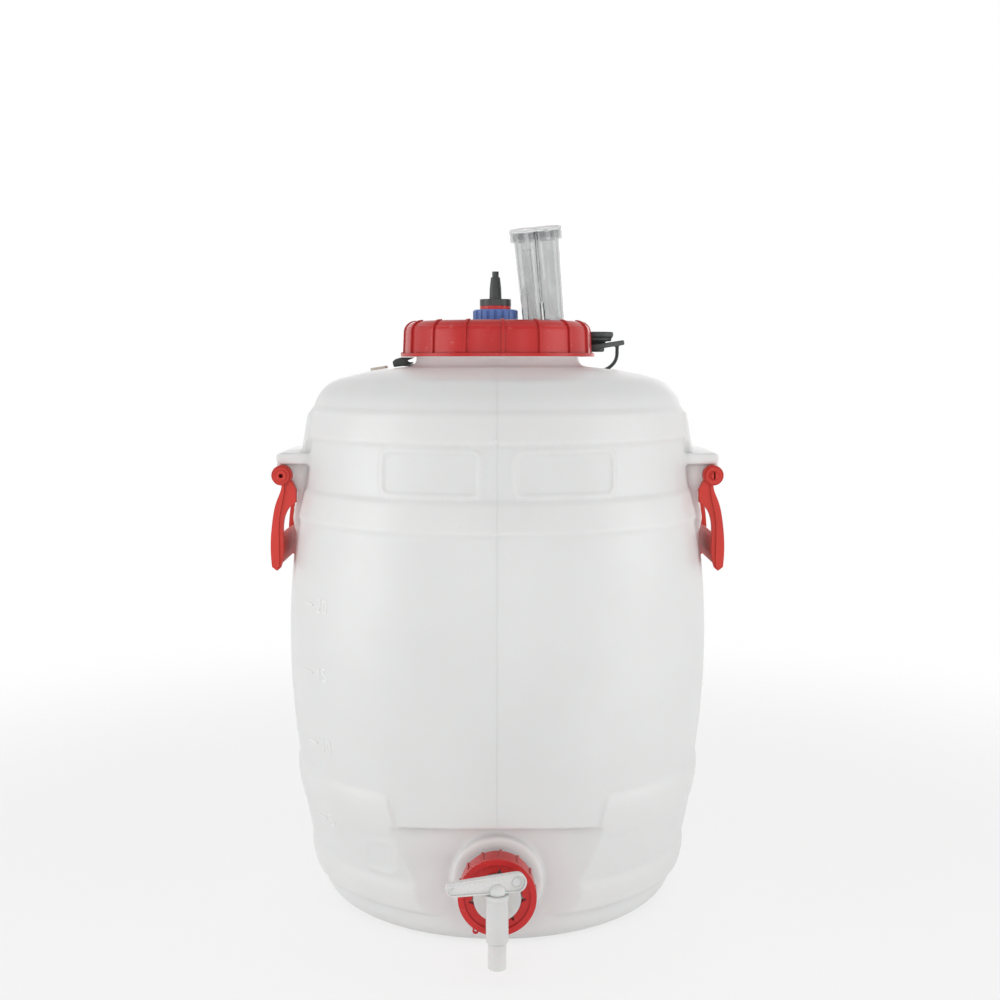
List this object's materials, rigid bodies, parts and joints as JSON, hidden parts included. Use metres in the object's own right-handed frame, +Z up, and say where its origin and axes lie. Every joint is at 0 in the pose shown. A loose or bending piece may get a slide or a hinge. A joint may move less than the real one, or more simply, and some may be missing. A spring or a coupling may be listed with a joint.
{
  "type": "fermentation barrel with airlock and tap",
  "caption": "Plastic fermenting barrel with screw lid, vent, twin-chamber airlock, bail handles and an outlet tap that turns to open.",
  "frame": {"origin": "centre of the base, on the surface it stands on", "axes": "+Z up along the barrel's axis, -Y towards the tap, +X towards the right handle seen from the tap"},
  "size_m": [0.3618, 0.385, 0.5466],
  "materials": {
    "milky_plastic": "milky, slightly translucent blow-moulded polyethylene",
    "red_plastic": "satin moulded red",
    "blue_plastic": "satin moulded blue",
    "white_plastic": "satin moulded white",
    "natural_plastic": "uncoloured, slightly translucent",
    "cream_plastic": "cream moulded tag",
    "black_plastic": "matt black",
    "black_rubber": "matt moulded rubber",
    "seal_rubber": "smooth seal rubber",
    "clear_plastic": "clear moulded plastic"
  },
  "bodies": {
    "barrel": {"barrel": "milky_plastic", "tap_ring_nut": "red_plastic", "tap_gasket": "seal_rubber", "tap_body": "white_plastic", "handle_pin_left": "red_plastic", "handle_pin_right": "red_plastic", "tether_strap": "black_rubber", "tether_anchor": "cream_plastic", "hole_stopper": "black_rubber"},
    "lid_seal": {"lid_gasket": "seal_rubber"},
    "lid": {"lid": "red_plastic", "airlock_grommet": "black_rubber", "vent_stem": "white_plastic", "vent_seal": "seal_rubber", "vent_nut": "blue_plastic", "vent_ring": "red_plastic", "vent_nozzle": "black_plastic"},
    "vent_tip": {"vent_tip": "black_plastic"},
    "airlock": {"airlock_body": "clear_plastic"},
    "airlock_cap": {"airlock_cap": "clear_plastic"},
    "tap_plug": {"tap_plug": "natural_plastic", "tap_lever": "white_plastic", "tap_oring": "seal_rubber"},
    "handle_left": {"handle_left": "red_plastic"},
    "handle_right": {"handle_right": "red_plastic"}
  },
  "joints": [
    {"name": "lid_lift", "type": "slide", "parent": "barrel", "child": "lid_seal", "axis": [0, 0, 1], "range_m": [0, 0.024]},
    {"name": "lid_turn", "type": "hinge", "parent": "lid_seal", "child": "lid", "pos_m": [0, 0, 0.4618], "axis": [0, 0, 1], "range_deg": [0, 1080]},
    {"name": "airlock_pull", "type": "slide", "parent": "lid", "child": "airlock", "axis": [-0.0972, -0.2069, 0.9735], "range_m": [0, 0.014]},
    {"name": "airlock_cap_pull", "type": "slide", "parent": "airlock", "child": "airlock_cap", "axis": [-0.0972, -0.2069, 0.9735], "range_m": [0, 0.012]},
    {"name": "vent_tip_pull", "type": "slide", "parent": "lid", "child": "vent_tip", "axis": [0, 0, 1], "range_m": [0, 0.011]},
    {"name": "tap_turn", "type": "hinge", "parent": "barrel", "child": "tap_plug", "pos_m": [0, -0.203, 0.0525], "axis": [0, 0, 1], "range_deg": [-13, 77]},
    {"name": "handle_right_swing", "type": "hinge", "parent": "barrel", "child": "handle_right", "pos_m": [0.171, 0, 0.347], "axis": [0, -1, 0], "range_deg": [0, 90]},
    {"name": "handle_left_swing", "type": "hinge", "parent": "barrel", "child": "handle_left", "pos_m": [-0.171, 0, 0.347], "axis": [0, 1, 0], "range_deg": [0, 90]}
  ],
  "couplings": [
    {"joint": "lid_lift", "follows": "lid_turn", "m_per_rad": 0.001273}
  ]
}
